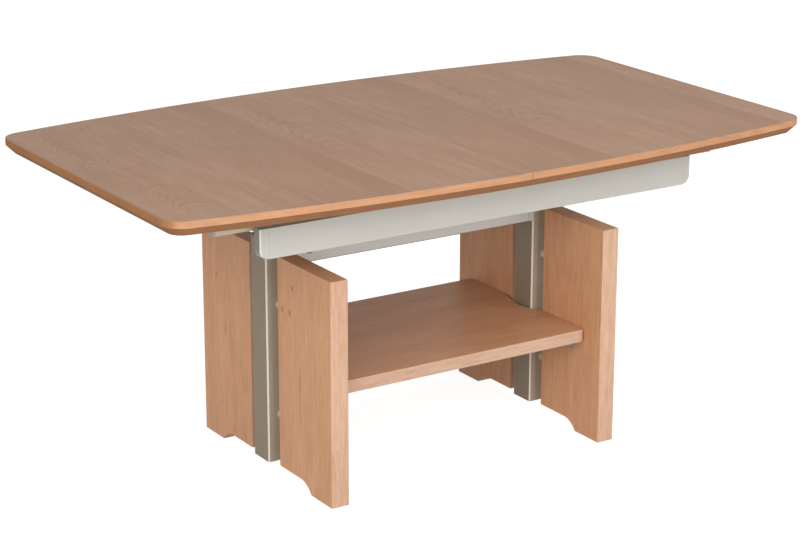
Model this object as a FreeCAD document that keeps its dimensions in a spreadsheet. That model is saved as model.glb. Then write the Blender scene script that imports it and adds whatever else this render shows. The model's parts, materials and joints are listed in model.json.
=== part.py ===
import FreeCAD, Part
import math
import os
import Sketcher
from FreeCAD import Rotation, Vector

# Convertible coffee and dining table.
# Two wooden legs with steel lifting columns carry a frame on which the two halves of a
# boat-shaped top slide apart. A gas spring in each column raises the top to dining height,
# a shaft in the cross beam keeps both columns level, and an insert leaf is stored in the frame.
# The origin is on the floor under the middle of the top: +X along its length, +Y to the back.
# Shown lowered and closed.

# Every size of the table that can be set by itself, in millimetres.
SIZES = {
    # Top
    "top_length": 1200.0,
    "top_middle_width": 702.0,
    "top_end_width": 606.0,
    "top_height": 547.0,
    "top_thickness": 25.0,
    "top_corner_radius": 38.0,
    "edge_bevel": 14.0,
    "lipping_width": 24.0,
    "veneer_thickness": 0.8,
    "seam_gap": 0.6,
    "extension_stroke": 180.0,
    "dowel_radius": 4.0,
    "dowel_depth": 20.0,
    "dowel_reach": 14.0,
    "dowel_spacing": 200.0,
    "dowel_clearance": 0.4,
    # Screws into wood
    "screw_radius": 1.75,
    "screw_head_radius": 3.5,
    "screw_head_height": 2.0,
    "screw_grip": 14.0,
    # Sliding rails under the top
    "rail_centre": 197.5,
    "rail_width": 19.0,
    "rail_height": 38.7,
    "rail_wall": 2.5,
    "rail_lip": 2.5,
    "runner_setback": 125.0,
    "runner_seam_gap": 8.0,
    "rail_screw_inset": 30.0,
    "bar_bracket_width": 8.0,
    "bar_bracket_thickness": 2.6,
    "bar_bracket_clearance": 0.7,
    "bar_bracket_setback": 5.0,
    "bar_side_clearance": 0.7,
    "bar_lip_clearance": 1.5,
    "pad_thickness": 2.0,
    "pad_length": 60.0,
    "pad_outer_place": 360.0,
    "pad_inner_place": 220.0,
    "post_clearance": 0.5,
    "sliding_clearance": 0.1,
    "running_clearance": 0.05,
    # Gear that keeps the two halves of the top together
    "top_rack_spacer": 4.0,
    "top_gear_thickness": 8.0,
    "top_gear_module": 1.5,
    "top_rack_back": 6.0,
    "top_rack_tail": 150.0,
    "rack_foot_length": 40.0,
    "rack_foot_inset": 10.0,
    "axle_radius": 4.0,
    "axle_collar_radius": 8.0,
    "axle_cap_radius": 6.0,
    "axle_cap_height": 1.5,
    "axle_play": 0.3,
    "bridge_thickness": 5.0,
    "bridge_width": 50.0,
    "bridge_leg": 4.0,
    "bridge_gap": 1.0,
    # Insert leaf kept in the frame
    "leaf_gap": 2.0,
    "leaf_glide_thickness": 2.0,
    "leaf_glide_width": 24.0,
    "leaf_glide_length": 300.0,
    # Frame
    "apron_face": 231.8,
    "apron_thickness": 19.8,
    "apron_drop": 31.7,
    "apron_height": 48.5,
    "apron_length": 828.0,
    "apron_wall": 2.0,
    "apron_rear_drop": 2.5,
    "apron_edge_radius": 1.0,
    "cap_length": 16.0,
    "cap_flat": 1.0,
    "cap_wall": 2.5,
    "cap_joint": 0.2,
    "cap_rim_radius": 3.0,
    "cap_plug": 16.0,
    "cap_plug_height": 20.0,
    "member_width": 50.0,
    "centre_member_width": 40.0,
    "member_height": 26.0,
    "member_wall": 2.5,
    "member_plate": 5.0,
    "member_ear": 16.0,
    "frame_screw_radius": 3.0,
    "frame_screw_head_radius": 5.0,
    "frame_screw_head_height": 4.0,
    "frame_screw_reach": 8.0,
    "head_plate_thickness": 5.0,
    "head_plate_length": 90.0,
    # Legs
    "leg_offset": 265.0,
    "lift_travel": 200.0,
    "head_room": 41.0,
    "column_width": 50.0,
    "column_wall": 3.0,
    "column_corner_radius": 4.0,
    "inner_corner_radius": 3.0,
    "column_bottom": 18.5,
    "base_plate_thickness": 6.0,
    "collar_flange": 4.0,
    "collar_depth": 14.0,
    "guide_gap": 1.5,
    "inner_wall": 2.5,
    "inner_column_gap": 17.0,
    "inner_glide_length": 30.0,
    "cheek_thickness": 32.0,
    "cheek_width": 167.0,
    "cheek_drop": 19.0,
    "cheek_gap": 21.0,
    "foot_width": 65.0,
    "arch_height": 17.5,
    "arch_run": 33.0,
    "board_edge_radius": 1.5,
    "foot_glide_height": 1.5,
    "foot_glide_radius": 9.0,
    "foot_glide_inset": 16.0,
    "glide_nail_radius": 2.0,
    "glide_nail_length": 14.0,
    "standoff_radius": 7.0,
    "standoff_low": 100.5,
    "standoff_high": 290.0,
    "stud_radius": 4.0,
    "stud_depth": 50.0,
    # Cross beam with the levelling shaft
    "beam_depth": 50.0,
    "beam_drop": 3.0,
    "beam_height": 44.0,
    "beam_wall": 2.5,
    "beam_plate": 9.5,
    "beam_plate_inset": 2.0,
    "beam_plate_overhang": 1.5,
    "beam_corner_radius": 3.0,
    "access_hole_radius": 10.5,
    "access_hole_rise": 3.0,
    "access_hole_inset": 22.5,
    "beam_bolt_radius": 4.0,
    "beam_bolt_head_radius": 6.5,
    "beam_bolt_head_height": 6.0,
    "beam_bolt_place": 14.0,
    "beam_bolt_spacing": 22.0,
    "shaft_radius": 5.0,
    "bush_wall": 3.0,
    "bush_flange": 2.0,
    "shaft_slot_clearance": 1.0,
    "lift_gear_module": 1.0,
    "lift_rack_back": 4.0,
    "lift_pinion_width": 8.0,
    "lift_pinion_inset": 2.0,
    "gear_backlash": 0.2,
    # Gas springs and their release
    "gas_offset": 6.0,
    "gas_tube_radius": 9.0,
    "gas_tube_wall": 1.5,
    "gas_tube_room": 16.0,
    "gas_gland": 12.0,
    "gas_rod_radius": 4.0,
    "gas_piston_length": 8.0,
    "gas_piston_reserve": 20.0,
    "rod_collar_radius": 6.0,
    "rod_collar_height": 5.0,
    "rod_reach": 6.0,
    "pin_radius": 2.0,
    "pin_reach": 5.0,
    "pin_length": 18.0,
    "pin_stroke_room": 4.0,
    "release_shaft_radius": 4.0,
    "release_shaft_place": 16.0,
    "release_gap": 0.5,
    "finger_width": 10.0,
    "finger_thickness": 3.6,
    "finger_overlap": 4.0,
    "release_hub_radius": 6.5,
    "lever_setback": 15.0,
    "lever_width": 18.0,
    "lever_thickness": 4.0,
    "lever_drop": 20.0,
    "lever_reach": 90.0,
    # Shelf
    "shelf_height": 195.0,
    "shelf_thickness": 22.0,
    "shelf_width": 342.0,
    "shelf_corner_radius": 10.0,
    "notch_clearance": 9.5,
    "notch_radius": 95.0,
    "bracket_place": 130.0,
    "bracket_width": 22.0,
    "bracket_drop": 24.0,
    "bracket_reach": 28.0,
    "bracket_thickness": 3.0,
    # Cuts run past the faces they open by this much
    "overrun": 5.0,
}

# Counts and angles of the gears
LIFT_PINION_TEETH = 18
TOP_PINION_TEETH = 20
PRESSURE_ANGLE = math.radians(20)
FLANK_STEPS = 5
TIP_SHARE = 0.8
ROOT_SHARE = 1.25

doc = FreeCAD.newDocument("ConvertibleTable")
sheet = doc.addObject("Spreadsheet::Sheet", "Sizes")
for row, (alias, number) in enumerate(SIZES.items(), start=1):
    sheet.set(f"A{row}", alias)
    sheet.set(f"B{row}", str(number))
    sheet.setAlias(f"B{row}", alias)
doc.recompute()


class Size:
    """A length with the spreadsheet expression that it comes from and its present value."""

    def __init__(self, text, value):
        self.text = text
        self.value = value

    def __add__(self, other):
        return Size(f"({self.text} + {text_of(other)})", self.value + value_of(other))

    def __sub__(self, other):
        return Size(f"({self.text} - {text_of(other)})", self.value - value_of(other))

    def __mul__(self, other):
        return Size(f"({self.text} * {text_of(other)})", self.value * value_of(other))

    def __truediv__(self, other):
        return Size(f"({self.text} / {text_of(other)})", self.value / value_of(other))

    def __neg__(self):
        return Size(f"(-1 * {self.text})", -self.value)


def text_of(length):
    return length.text if isinstance(length, Size) else str(length)


def value_of(length):
    return length.value if isinstance(length, Size) else length


def size(alias):
    return Size(f"Sizes.{alias}", float(sheet.get(alias)))


def bind(item, prop, length):
    """Ties a property to its spreadsheet expression."""
    item.setExpression(prop, text_of(length))


def place(item, x, y, z):
    for axis, length in zip("xyz", (x, y, z)):
        if isinstance(length, Size):
            bind(item, f"Placement.Base.{axis}", length)


def about(centre, width):
    """The span of a width laid evenly about a centre."""
    return (-(width / 2), width / 2) if centre == 0 else (centre - width / 2, centre + width / 2)


def box(x, y, z):
    solid = doc.addObject("Part::Box", "block")
    for prop, (low, high) in zip(("Length", "Width", "Height"), (x, y, z)):
        bind(solid, prop, high - low)
    place(solid, x[0], y[0], z[0])
    return solid


TURN_FROM_Z = {
    "x": Rotation(Vector(0, 1, 0), 90),
    "y": Rotation(Vector(1, 0, 0), -90),
    "z": Rotation(),
}


def along(axis, centre, start):
    """A point on a line along an axis, from the other two coordinates and its start."""
    point = list(centre)
    point.insert("xyz".index(axis), start)
    return point


def rod(axis, centre, span, radius):
    solid = doc.addObject("Part::Cylinder", "rod")
    solid.Placement = FreeCAD.Placement(Vector(), TURN_FROM_Z[axis])
    bind(solid, "Radius", radius)
    bind(solid, "Height", span[1] - span[0])
    place(solid, *along(axis, centre, span[0]))
    return solid


def taper(axis, centre, span, low_radius, high_radius):
    solid = doc.addObject("Part::Cone", "taper")
    solid.Placement = FreeCAD.Placement(Vector(), TURN_FROM_Z[axis])
    bind(solid, "Radius1", low_radius)
    bind(solid, "Radius2", high_radius)
    bind(solid, "Height", span[1] - span[0])
    place(solid, *along(axis, centre, span[0]))
    return solid


def fuse(*solids):
    joined = doc.addObject("Part::MultiFuse", "fused")
    joined.Shapes = list(solids)
    joined.Refine = True
    return joined


def cut(solid, *tools):
    for tool in tools:
        result = doc.addObject("Part::Cut", "cut")
        result.Base = solid
        result.Tool = tool
        result.Refine = True
        solid = result
    return solid


def group(*solids):
    """Separate solids that share one node."""
    items = doc.addObject("Part::Compound", "group")
    items.Links = list(solids)
    return items


def mirror(solid, axis):
    """The same piece on the other side of the middle plane across an axis."""
    copy = doc.addObject("Part::Mirroring", "mirrored")
    copy.Source = solid
    copy.Normal = {"x": Vector(1, 0, 0), "y": Vector(0, 1, 0)}[axis]
    return copy


def both(solid, axis):
    return [solid, mirror(solid, axis)]


def four(solid):
    """A piece of the left front corner, and its copies at the other three corners."""
    return [copy for side in both(solid, "x") for copy in both(side, "y")]


def arc_through(start, end, radius, turn):
    """The shorter arc of a radius between two points; turn is 1 for anticlockwise, -1 for clockwise."""
    first, last = (start, end) if turn > 0 else (end, start)
    chord = last - first
    half = chord.Length / 2
    rise = radius - math.sqrt(radius ** 2 - half ** 2)
    outward = Vector(chord.y, -chord.x, 0).normalize()
    return Part.Arc(first, (first + last) / 2 + outward * rise, last)


def sketch_on(body, plane, offset, outline):
    """A closed outline on one of the body's own planes, each corner tied to its expressions.

    A corner is (u, v), or (u, v, radius, turn) where an arc runs from it to the next corner.
    """
    sketch = body.newObject("Sketcher::SketchObject", "outline")
    support = next(f for f in body.Origin.OriginFeatures if f.Role == plane)
    sketch.AttachmentSupport = [(support, "")]
    sketch.MapMode = "FlatFace"
    if isinstance(offset, Size):
        bind(sketch, "AttachmentOffset.Base.z", offset)
    points = [Vector(value_of(corner[0]), value_of(corner[1]), 0) for corner in outline]
    ends = []
    for index, corner in enumerate(outline):
        start, end = points[index], points[(index + 1) % len(points)]
        if len(corner) == 2:
            edge = sketch.addGeometry(Part.LineSegment(start, end), False)
            ends.append((edge, 1, 2))
        else:
            arc = arc_through(start, end, value_of(corner[2]), corner[3])
            edge = sketch.addGeometry(arc, False)
            ends.append((edge, 1, 2) if corner[3] > 0 else (edge, 2, 1))
    for index, corner in enumerate(outline):
        edge, first, last = ends[index]
        previous = ends[index - 1]
        sketch.addConstraint(Sketcher.Constraint("Coincident", previous[0], previous[2], edge, first))
        for kind, length, along_axis in (("DistanceX", corner[0], "x"), ("DistanceY", corner[1], "y")):
            start = getattr(points[index], along_axis)
            rule = sketch.addConstraint(Sketcher.Constraint(kind, -1, 1, edge, first, start))
            if isinstance(length, Size):
                bind(sketch, f"Constraints[{rule}]", length)
        if len(corner) > 2:
            rule = sketch.addConstraint(Sketcher.Constraint("Radius", edge, value_of(corner[2])))
            bind(sketch, f"Constraints[{rule}]", corner[2])
    return sketch


def padded(name, plane, span, outline):
    """A body whose outline, drawn across a plane, is padded over a span square to that plane."""
    body = doc.addObject("PartDesign::Body", name)
    start = -span[1] if plane == "XZ_Plane" else span[0]
    sketch = sketch_on(body, plane, start, outline)
    pad = body.newObject("PartDesign::Pad", "pad")
    pad.Profile = sketch
    bind(pad, "Length", span[1] - span[0])
    doc.recompute()
    return body


def rectangle(u, v):
    """The corners of a rectangle over two spans."""
    return [(u[0], v[0]), (u[1], v[0]), (u[1], v[1]), (u[0], v[1])]


def edges_where(base, test):
    return [f"Edge{index}" for index, edge in enumerate(base.Shape.Edges, start=1) if test(edge)]


def is_upright(edge):
    limits = edge.BoundBox
    return limits.XLength + limits.YLength < limits.ZLength / 100


def is_along_x(edge):
    limits = edge.BoundBox
    return limits.YLength + limits.ZLength < limits.XLength / 100


def rounded(body, radius, test):
    base = body.Tip
    feature = body.newObject("PartDesign::Fillet", "rounding")
    feature.Base = (base, edges_where(base, test))
    bind(feature, "Radius", radius)
    doc.recompute()


def bevelled(body, depth, test):
    base = body.Tip
    feature = body.newObject("PartDesign::Chamfer", "bevel")
    feature.Base = (base, edges_where(base, test))
    bind(feature, "Size", depth)
    doc.recompute()


def pocketed(body, top, outline):
    """Cuts an outline downwards through the whole body."""
    before = body.Tip.Shape.Volume
    sketch = sketch_on(body, "XY_Plane", top, outline)
    pocket = body.newObject("PartDesign::Pocket", "pocket")
    pocket.Profile = sketch
    pocket.Type = "ThroughAll"
    doc.recompute()
    if pocket.Shape.Volume >= before:
        raise RuntimeError("the pocket points away from its body")


PIECES = []


def piece(item, label):
    """Names a finished piece and lists it for writing."""
    item.Label = label
    PIECES.append(item)
    return item


# Places worked out from the sizes

leg = size("leg_offset")
overrun = size("overrun")
slide_gap = size("sliding_clearance")
run_gap = size("running_clearance")

top_under = size("top_height") - size("top_thickness")
veneer_under = size("top_height") - size("veneer_thickness")
top_half = size("top_length") / 2
seam = size("seam_gap") / 2

rack_top = top_under - size("top_rack_spacer")
rack_under = rack_top - size("top_gear_thickness")
bridge_top = rack_under - size("bridge_gap")
bridge_under = bridge_top - size("bridge_thickness")
leaf_top = bridge_under - size("leaf_gap")
leaf_under = leaf_top - size("top_thickness")
member_top = leaf_under - size("leaf_glide_thickness")
member_under = member_top - size("member_height")
head_under = member_under - size("head_plate_thickness")
collar_top = head_under - size("head_room")
column_top = collar_top - size("collar_flange")
cheek_top = column_top - size("cheek_drop")
beam_top = column_top - size("beam_drop")
beam_under = beam_top - size("beam_height")
beam_middle = (beam_top + beam_under) / 2

column_half = size("column_width") / 2
column_inside = column_half - size("column_wall")
inner_half = column_inside - size("guide_gap")
inner_inside = inner_half - size("inner_wall")
base_plate_top = size("column_bottom") + size("base_plate_thickness")
inner_under = base_plate_top + size("inner_column_gap")
column_face = leg - column_half

apron_inside = size("apron_face") - size("apron_thickness")
apron_top = top_under - size("apron_drop")
apron_under = apron_top - size("apron_height")
apron_end = size("apron_length") / 2
member_end = apron_inside - size("member_plate")

lift_pitch_radius = size("lift_gear_module") * LIFT_PINION_TEETH / 2
shaft_place = inner_inside - size("lift_rack_back") - lift_pitch_radius
pinion_outer = leg - inner_inside + size("lift_pinion_inset") + size("lift_pinion_width")
pinion_inner = pinion_outer - size("lift_pinion_width")
top_pitch_radius = size("top_gear_module") * TOP_PINION_TEETH / 2

rail_under = top_under - size("rail_height")
rail_inside_top = top_under - size("rail_wall")
bar_half = size("rail_width") / 2 - size("rail_wall") - size("bar_side_clearance")
bar_top = rail_inside_top - slide_gap - size("pad_thickness")
bar_under = rail_under + size("rail_wall") + size("bar_lip_clearance")

leaf_half_width = size("extension_stroke") - seam
leaf_half_length = size("top_middle_width") / 2


# Gears


def flank(module, teeth, radius):
    """Half the angle that a gear tooth spans at a radius, from its involute."""
    pitch_radius = module * teeth / 2
    base_radius = pitch_radius * math.cos(PRESSURE_ANGLE)
    slope = math.acos(min(1.0, base_radius / radius))
    play = value_of(size("gear_backlash")) / (2 * pitch_radius)
    spread = math.tan(PRESSURE_ANGLE) - PRESSURE_ANGLE - (math.tan(slope) - slope)
    return math.pi / (2 * teeth) - play / 2 + spread


def gear_face(module, teeth):
    """The outline of a gear about the origin, with a tooth on the +Y side."""
    pitch_radius = module * teeth / 2
    tip_radius = pitch_radius + TIP_SHARE * module
    root_radius = pitch_radius - ROOT_SHARE * module
    base_radius = pitch_radius * math.cos(PRESSURE_ANGLE)
    low = max(base_radius, root_radius)
    radii = [low + (tip_radius - low) * step / FLANK_STEPS for step in range(FLANK_STEPS + 1)]
    half = [(root_radius, flank(module, teeth, low))]
    half += [(radius, flank(module, teeth, radius)) for radius in radii if radius > root_radius]
    points = []
    for tooth in range(teeth):
        middle = math.pi / 2 - 2 * math.pi * tooth / teeth
        for radius, angle in half:
            points.append(Vector(radius * math.cos(middle + angle), radius * math.sin(middle + angle), 0))
        for radius, angle in reversed(half):
            points.append(Vector(radius * math.cos(middle - angle), radius * math.sin(middle - angle), 0))
    return Part.Face(Part.makePolygon(points + points[:1]))


def rack_face(module, back, low_end, high_end, teeth_low, teeth_high):
    """A rack along X whose pitch line is Y = 0 and whose teeth point to -Y, with a gap at X = 0."""
    pitch = math.pi * module
    tip = -TIP_SHARE * module
    root = ROOT_SHARE * module
    half = pitch / 4 - value_of(size("gear_backlash")) / 4
    lean = math.tan(PRESSURE_ANGLE)
    points = [Vector(high_end, root + back, 0), Vector(low_end, root + back, 0), Vector(low_end, root, 0)]
    first = math.ceil(teeth_low / pitch)
    last = math.floor(teeth_high / pitch)
    for tooth in range(first, last):
        middle = (tooth + 1 / 2) * pitch
        points.append(Vector(middle - half - root * lean, root, 0))
        points.append(Vector(middle - half - tip * lean, tip, 0))
        points.append(Vector(middle + half + tip * lean, tip, 0))
        points.append(Vector(middle + half + root * lean, root, 0))
    points.append(Vector(high_end, root, 0))
    return Part.Face(Part.makePolygon(points + points[:1]))


def cut_teeth(face, thickness, placement):
    """A toothed plate from its outline; the outline follows a formula."""
    item = doc.addObject("Part::Feature", "toothed")
    item.Shape = face.extrude(Vector(0, 0, value_of(thickness)))
    item.Placement = placement
    return item


def spot(x, y, z):
    return Vector(value_of(x), value_of(y), value_of(z))


# Legs

cheek_inner = column_half + size("cheek_gap")
cheek_outer = cheek_inner + size("cheek_width")
cheek_foot = cheek_outer - size("foot_width")
cheek_under = size("foot_glide_height")
arch_top = cheek_under + size("arch_height")
arch_run = size("arch_run")
arch_rise = size("arch_height")
arch_radius = (arch_run * arch_run + arch_rise * arch_rise) / (arch_rise * 2)
cheek_span = (-leg - size("cheek_thickness") / 2, -leg + size("cheek_thickness") / 2)

cheek = padded("cheek", "YZ_Plane", cheek_span, [
    (-cheek_outer, cheek_under),
    (-cheek_foot, cheek_under, arch_radius, -1),
    (-cheek_foot + arch_run, arch_top),
    (-cheek_inner, arch_top),
    (-cheek_inner, cheek_top),
    (-cheek_outer, cheek_top),
])
rounded(cheek, size("board_edge_radius"),
        lambda edge: is_upright(edge) or edge.BoundBox.ZMin > cheek_top.value - overrun.value)

stud_heights = (size("standoff_low"), size("standoff_high"))
studs = [rod("y", (-leg, height), (-(cheek_inner + size("stud_depth")), -column_inside), size("stud_radius"))
         for height in stud_heights]
standoffs = [cut(rod("y", (-leg, height), (-cheek_inner, -column_half), size("standoff_radius")), stud)
             for height, stud in zip(stud_heights, studs)]

glide_inset = size("foot_glide_inset")
glides = []
for glide_place in (-cheek_outer + glide_inset, -cheek_foot - glide_inset):
    disc = rod("z", (-leg, glide_place), (0, cheek_under), size("foot_glide_radius"))
    nail = rod("z", (-leg, glide_place), (0, cheek_under + size("glide_nail_length")),
               size("glide_nail_radius"))
    glides.append(fuse(disc, nail))

bracket_face = leg - size("cheek_thickness") / 2
bracket_side = about(-size("bracket_place"), size("bracket_width"))
shelf_under = size("shelf_height") - size("shelf_thickness")
bracket_wall = size("bracket_thickness")
bracket_low = shelf_under - size("bracket_drop")
bracket_screw_z = bracket_low + (size("bracket_drop") - bracket_wall) / 2
bracket_screw_x = bracket_face - (size("bracket_reach") + bracket_wall) / 2


def wood_screw(axis, centre, start, grip):
    """A countersunk screw whose head is flush with the face where it starts, along +axis."""
    head_end = start + size("screw_head_height")
    head = taper(axis, centre, (start, head_end), size("screw_head_radius"), size("screw_radius"))
    return fuse(head, rod(axis, centre, (head_end, start + grip), size("screw_radius")))


side_screw = mirror(wood_screw("x", (-size("bracket_place"), bracket_screw_z),
                               bracket_face - bracket_wall, bracket_wall + size("screw_grip")), "x")
shelf_screw = wood_screw("z", (-bracket_screw_x, -size("bracket_place")),
                         shelf_under - bracket_wall, bracket_wall + size("screw_grip"))
bracket_screws = [side_screw, shelf_screw]
bracket_round = size("bracket_width") / 2
bracket_plate = (-bracket_face, -bracket_face + bracket_wall)
bracket = fuse(
    box(bracket_plate, bracket_side, (bracket_low + bracket_round, shelf_under)),
    rod("x", (-size("bracket_place"), bracket_low + bracket_round), bracket_plate, bracket_round),
    box((-bracket_face, -bracket_face + size("bracket_reach")), bracket_side,
        (shelf_under - bracket_wall, shelf_under)))

left_front_cheek = cut(cheek, *studs, *glides, side_screw)
left_rear_cheek = mirror(left_front_cheek, "y")
piece(left_front_cheek, "left_front_cheek")
piece(left_rear_cheek, "left_rear_cheek")
piece(mirror(left_front_cheek, "x"), "right_front_cheek")
piece(mirror(left_rear_cheek, "x"), "right_rear_cheek")
piece(group(*[copy for solid in standoffs for copy in four(solid)]), "cheek_standoffs")
piece(group(*[copy for solid in studs for copy in four(solid)]), "standoff_studs")
piece(group(*[copy for solid in glides for copy in four(solid)]), "foot_glides")
piece(group(*four(cut(bracket, *bracket_screws))), "shelf_brackets")
piece(group(*[copy for solid in bracket_screws for copy in four(solid)]), "shelf_screws")

# Shelf

shelf_end = bracket_face
shelf_half = size("shelf_width") / 2
shelf = padded("shelf", "XY_Plane", (shelf_under, size("shelf_height")),
               rectangle((-shelf_end, shelf_end), (-shelf_half, shelf_half)))
notch_centre = column_face - size("notch_clearance") + size("notch_radius")
notch = rod("z", (-notch_centre, 0), (shelf_under - overrun, size("shelf_height") + overrun),
            size("notch_radius"))


def is_shelf_corner(edge):
    return is_upright(edge) and abs(abs(edge.BoundBox.YMin) - shelf_half.value) < overrun.value / 10


def is_long_shelf_edge(edge):
    return edge.BoundBox.XLength > shelf_end.value


rounded(shelf, size("shelf_corner_radius"), is_shelf_corner)
rounded(shelf, size("board_edge_radius"), is_long_shelf_edge)
piece(cut(shelf, *both(notch, "x"), group(*four(shelf_screw))), "lower_shelf")

# Outer columns

column_square = about(-leg, size("column_width"))
column_depth = about(0, size("column_width"))
column_solid = padded("column", "XY_Plane", (size("column_bottom"), column_top),
                      rectangle(column_square, column_depth))
rounded(column_solid, size("column_corner_radius"), is_upright)
column_hollow = box(about(-leg, column_inside * 2), about(0, column_inside * 2),
                    (size("column_bottom") - overrun, column_top + overrun))
bush_radius = size("shaft_radius") + size("bush_wall")
bush_flange_face = column_face - size("beam_plate") - size("bush_flange")
bush_end = leg - column_inside
bush_body = rod("x", (shaft_place, beam_middle), (-bush_end, -bush_flange_face), bush_radius)
bush_flange = rod("x", (shaft_place, beam_middle),
                  (-bush_flange_face - size("bush_flange"), -bush_flange_face),
                  bush_radius + size("bush_flange"))
shaft_bore = rod("x", (shaft_place, beam_middle), (-bush_end - overrun, -bush_flange_face + overrun),
                 size("shaft_radius") + run_gap)
bush = cut(fuse(bush_body, bush_flange), shaft_bore)

beam_bolts = []
beam_plate_inner = column_face - size("beam_plate")
for side in (-1, 1):
    bolt_spot = (-size("beam_bolt_place"), beam_middle + size("beam_bolt_spacing") * side / 2)
    bolt_head = rod("x", bolt_spot, (-beam_plate_inner, -beam_plate_inner + size("beam_bolt_head_height")),
                    size("beam_bolt_head_radius"))
    bolt_shank = rod("x", bolt_spot, (-bush_end, -beam_plate_inner), size("beam_bolt_radius"))
    beam_bolts.append(fuse(bolt_head, bolt_shank))

rear_studs = [mirror(stud, "y") for stud in studs]
left_column = cut(column_solid, column_hollow, *studs, *rear_studs, bush_body, *beam_bolts)
piece(left_column, "left_outer_column")
piece(mirror(left_column, "x"), "right_outer_column")
base_plate = box(about(-leg, column_inside * 2), about(0, column_inside * 2),
                 (size("column_bottom"), base_plate_top))
piece(group(*both(base_plate, "x")), "column_base_plates")

collar_bore = inner_half + slide_gap
collar_flange = box(column_square, column_depth, (column_top, collar_top))
collar_sleeve = box(about(-leg, column_inside * 2), about(0, column_inside * 2),
                    (column_top - size("collar_depth"), column_top))
collar_hole = box(about(-leg, collar_bore * 2), about(0, collar_bore * 2),
                  (column_top - size("collar_depth") - overrun, collar_top + overrun))
collar = cut(fuse(collar_flange, collar_sleeve), collar_hole)
piece(group(*both(collar, "x")), "column_collars")

# Cross beam

beam_span = (-beam_plate_inner, beam_plate_inner)
beam_sides = about(0, size("beam_depth"))
beam_wall = size("beam_wall")
beam_solid = padded("beam", "YZ_Plane", beam_span, rectangle(beam_sides, (beam_under, beam_top)))
rounded(beam_solid, size("beam_corner_radius"), is_along_x)
beam_hollow = box((beam_span[0] - overrun, beam_span[1] + overrun),
                  (beam_sides[0] + beam_wall, beam_sides[1] - beam_wall),
                  (beam_under + beam_wall, beam_top - beam_wall))
access_x = -beam_plate_inner + size("access_hole_inset")
access_hole = rod("y", (access_x, beam_middle + size("access_hole_rise")),
                  (beam_sides[0] - overrun, beam_sides[0] + overrun), size("access_hole_radius"))
piece(cut(beam_solid, beam_hollow, access_hole), "cross_beam")
plate_inset = size("beam_plate_inset")
beam_plate = cut(box((-column_face, -beam_plate_inner),
                     about(0, size("beam_depth") + size("beam_plate_overhang") * 2),
                     (beam_under + plate_inset, beam_top - plate_inset)), bush_body, *beam_bolts)
piece(group(*both(beam_plate, "x")), "beam_end_plates")
piece(group(*[copy for bolt in beam_bolts for copy in both(bolt, "x")]), "beam_bolts")
piece(group(*both(bush, "x")), "shaft_bushes")

# Levelling shaft and its pinions

shaft = rod("x", (shaft_place, beam_middle), (-pinion_outer, pinion_outer), size("shaft_radius"))
piece(shaft, "levelling_shaft")
lift_module = size("lift_gear_module")
# The gear is drawn flat with a tooth towards +Y, then its axis is laid along X.
across_x = Rotation(Vector(0, 0, -1), Vector(0, 1, 0), Vector(1, 0, 0), "ZYX")
lift_gear = cut_teeth(gear_face(lift_module.value, LIFT_PINION_TEETH), size("lift_pinion_width"),
                      FreeCAD.Placement(spot(-pinion_outer, shaft_place, beam_middle), across_x))
lift_gear_bore = rod("x", (shaft_place, beam_middle), (-pinion_outer - overrun, -pinion_inner + overrun),
                     size("shaft_radius"))
piece(group(*both(cut(lift_gear, lift_gear_bore), "x")), "lift_pinions")

# Lifting columns

inner_square = about(-leg, inner_half * 2)
inner_depth = about(0, inner_half * 2)
inner_solid = padded("lifting_column", "XY_Plane", (inner_under, head_under),
                     rectangle(inner_square, inner_depth))
rounded(inner_solid, size("inner_corner_radius"), is_upright)
inner_hollow = box(about(-leg, inner_inside * 2), about(0, inner_inside * 2),
                   (inner_under - overrun, head_under + overrun))
slot_half = size("shaft_radius") + size("shaft_slot_clearance")
shaft_slot = box((-leg + inner_inside - overrun, -leg + inner_half + overrun),
                 (shaft_place - slot_half, shaft_place + slot_half),
                 (beam_middle - size("lift_travel") - slot_half, beam_middle + slot_half))
left_inner = cut(inner_solid, inner_hollow, shaft_slot)
piece(left_inner, "left_lifting_column")
piece(mirror(left_inner, "x"), "right_lifting_column")

inner_glide_top = inner_under + size("inner_glide_length")
inner_glide = cut(box(about(-leg, (column_inside - slide_gap) * 2), about(0, (column_inside - slide_gap) * 2),
                      (inner_under, inner_glide_top)),
                  box(inner_square, inner_depth, (inner_under - overrun, inner_glide_top + overrun)))
piece(group(*both(inner_glide, "x")), "column_glides")

lift_tip = lift_pitch_radius + lift_module * 2
lift_rack_low = -(size("lift_travel") + lift_tip)
upright_rack = Rotation(Vector(0, 0, 1), Vector(0, 1, 0), Vector(-1, 0, 0), "ZXY")
lift_rack_root = size("lift_rack_back") - lift_module * ROOT_SHARE
lift_rack = cut_teeth(
    rack_face(lift_module.value, lift_rack_root.value, lift_rack_low.value, lift_tip.value,
              lift_rack_low.value, lift_tip.value),
    size("lift_pinion_width"),
    FreeCAD.Placement(spot(-pinion_inner, shaft_place + lift_pitch_radius, beam_middle), upright_rack))
piece(group(*both(lift_rack, "x")), "lift_racks")

# Gas springs

gas_x = leg + size("gas_offset")
gas_spot = (-gas_x, 0)
gas_top = head_under - size("gas_tube_room")
gas_bore = size("gas_tube_radius") - size("gas_tube_wall")
gland_under = gas_top - size("gas_gland")
rod_bore = rod("z", gas_spot, (gland_under - overrun, gas_top + overrun), size("gas_rod_radius") + run_gap)
gas_tube = cut(rod("z", gas_spot, (base_plate_top, gas_top), size("gas_tube_radius")),
               rod("z", gas_spot, (base_plate_top + size("gas_tube_wall"), gland_under), gas_bore),
               rod_bore)
piece(group(*both(gas_tube, "x")), "gas_spring_tubes")

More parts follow.
